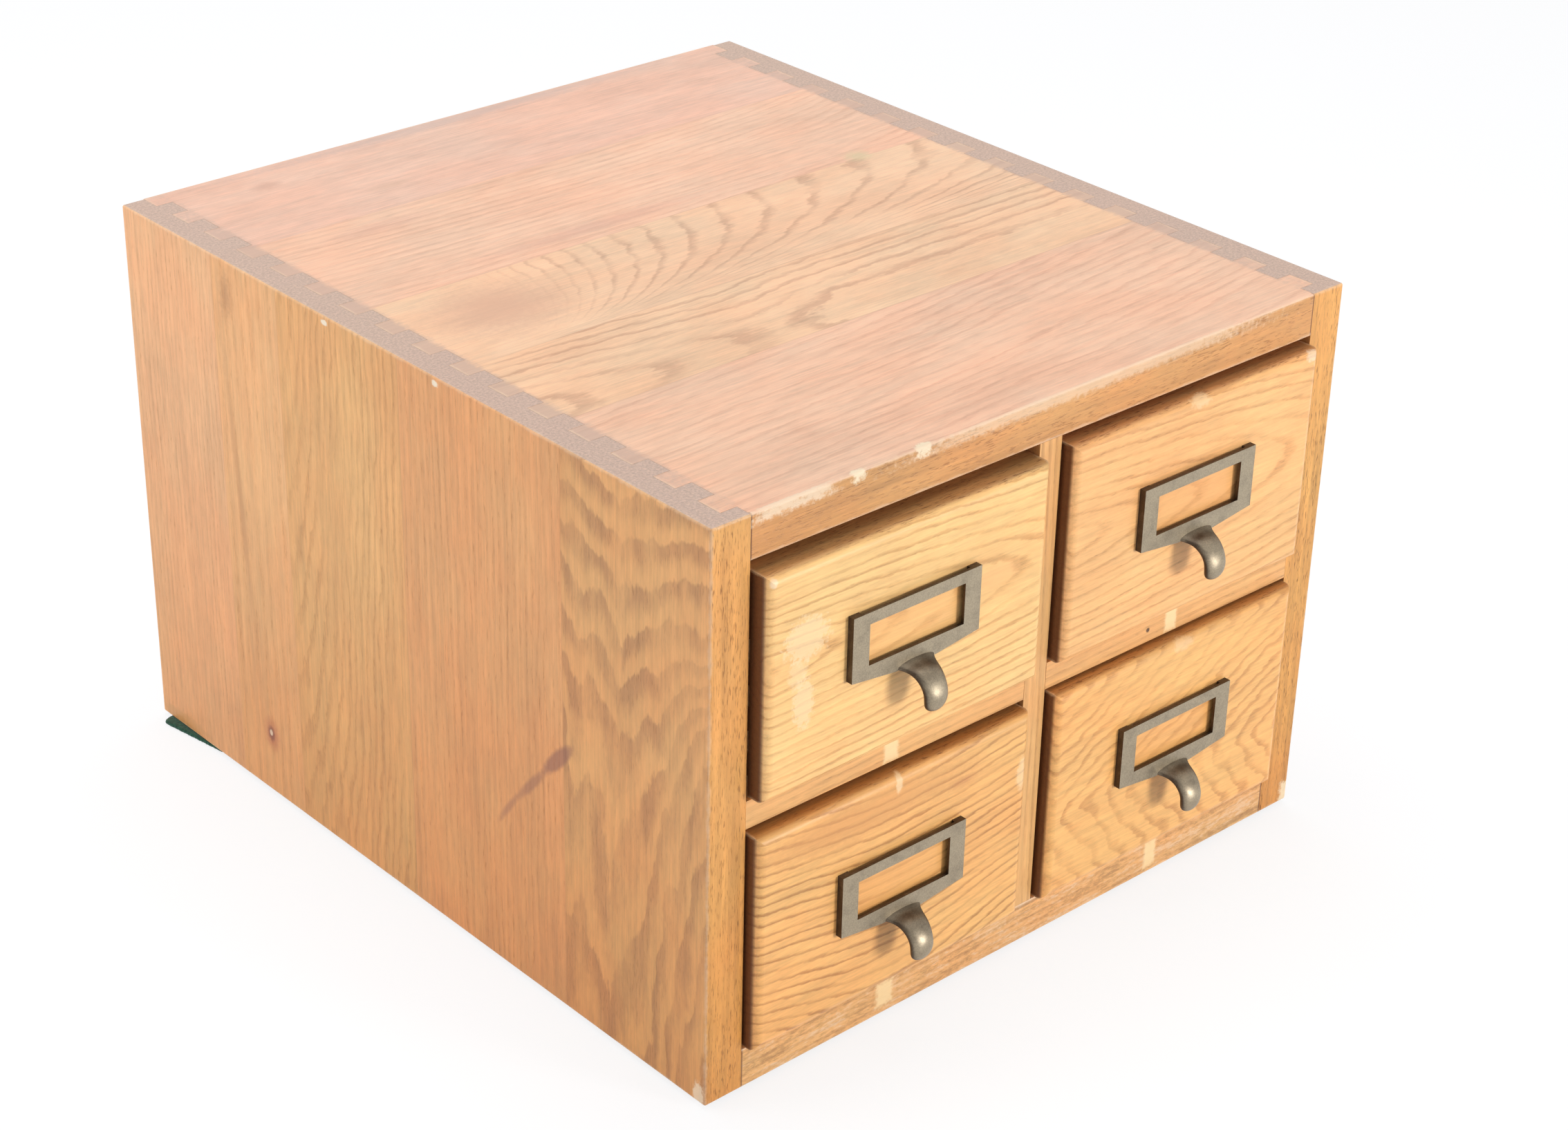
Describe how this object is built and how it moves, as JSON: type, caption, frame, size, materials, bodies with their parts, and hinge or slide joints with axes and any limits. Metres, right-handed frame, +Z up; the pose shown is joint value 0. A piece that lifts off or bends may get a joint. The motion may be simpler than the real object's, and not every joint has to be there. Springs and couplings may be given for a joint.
{
  "type": "index card cabinet",
  "caption": "Desk-top oak cabinet with card drawers, half-blind finger joints, card followers and cast label holders with finger pulls",
  "frame": {"origin": "on the surface that the cabinet stands on, in the middle of the room it takes up", "axes": "+X to the right seen from the front, +Y from the drawers to the back, +Z up"},
  "size_m": [0.3613, 0.4264, 0.2623],
  "materials": {
    "case_oak": "worn clear finish over open-grained oak",
    "drawer_front_oak": "worn clear finish over open-grained oak",
    "drawer_wood": "planed and bare",
    "back_plywood": "thin plywood with a clear finish",
    "pull_metal": "cast and aged to a brown grey, satin",
    "screw_steel": "plain screws",
    "felt": "dense wool felt"
  },
  "bodies": {
    "case": {"left_side": "case_oak", "right_side": "case_oak", "top_panel": "case_oak", "bottom_panel": "case_oak", "back_panel": "back_plywood", "centre_divider": "case_oak", "left_shelf": "case_oak", "right_shelf": "case_oak", "back_screws": "screw_steel", "felt_pad_front_left": "felt", "felt_pad_front_right": "felt", "felt_pad_back_left": "felt", "felt_pad_back_right": "felt"},
    "upper_left_drawer": {"upper_left_front": "drawer_front_oak", "upper_left_left_side": "drawer_wood", "upper_left_right_side": "drawer_wood", "upper_left_back": "drawer_wood", "upper_left_bottom": "drawer_wood", "upper_left_pull": "pull_metal", "upper_left_pull_screws": "screw_steel"},
    "upper_left_follower": {"upper_left_follower_board": "drawer_wood", "upper_left_follower_block": "drawer_wood"},
    "upper_right_drawer": {"upper_right_front": "drawer_front_oak", "upper_right_left_side": "drawer_wood", "upper_right_right_side": "drawer_wood", "upper_right_back": "drawer_wood", "upper_right_bottom": "drawer_wood", "upper_right_pull": "pull_metal", "upper_right_pull_screws": "screw_steel"},
    "upper_right_follower": {"upper_right_follower_board": "drawer_wood", "upper_right_follower_block": "drawer_wood"},
    "lower_left_drawer": {"lower_left_front": "drawer_front_oak", "lower_left_left_side": "drawer_wood", "lower_left_right_side": "drawer_wood", "lower_left_back": "drawer_wood", "lower_left_bottom": "drawer_wood", "lower_left_pull": "pull_metal", "lower_left_pull_screws": "screw_steel"},
    "lower_left_follower": {"lower_left_follower_board": "drawer_wood", "lower_left_follower_block": "drawer_wood"},
    "lower_right_drawer": {"lower_right_front": "drawer_front_oak", "lower_right_left_side": "drawer_wood", "lower_right_right_side": "drawer_wood", "lower_right_back": "drawer_wood", "lower_right_bottom": "drawer_wood", "lower_right_pull": "pull_metal", "lower_right_pull_screws": "screw_steel"},
    "lower_right_follower": {"lower_right_follower_board": "drawer_wood", "lower_right_follower_block": "drawer_wood"}
  },
  "joints": [
    {"name": "upper_left_drawer_slide", "type": "slide", "parent": "case", "child": "upper_left_drawer", "axis": [0, -1, 0], "range_m": [-0.0025, 0.3]},
    {"name": "upper_left_follower_slide", "type": "slide", "parent": "upper_left_drawer", "child": "upper_left_follower", "axis": [0, -1, 0], "range_m": [-0.0035, 0.32]},
    {"name": "upper_right_drawer_slide", "type": "slide", "parent": "case", "child": "upper_right_drawer", "axis": [0, -1, 0], "range_m": [-0.0013, 0.3]},
    {"name": "upper_right_follower_slide", "type": "slide", "parent": "upper_right_drawer", "child": "upper_right_follower", "axis": [0, -1, 0], "range_m": [-0.0035, 0.32]},
    {"name": "lower_left_drawer_slide", "type": "slide", "parent": "case", "child": "lower_left_drawer", "axis": [0, -1, 0], "range_m": [-0.0007, 0.3]},
    {"name": "lower_left_follower_slide", "type": "slide", "parent": "lower_left_drawer", "child": "lower_left_follower", "axis": [0, -1, 0], "range_m": [-0.0035, 0.32]},
    {"name": "lower_right_drawer_slide", "type": "slide", "parent": "case", "child": "lower_right_drawer", "axis": [0, -1, 0], "range_m": [-0.0006, 0.3]},
    {"name": "lower_right_follower_slide", "type": "slide", "parent": "lower_right_drawer", "child": "lower_right_follower", "axis": [0, -1, 0], "range_m": [-0.0035, 0.32]}
  ]
}
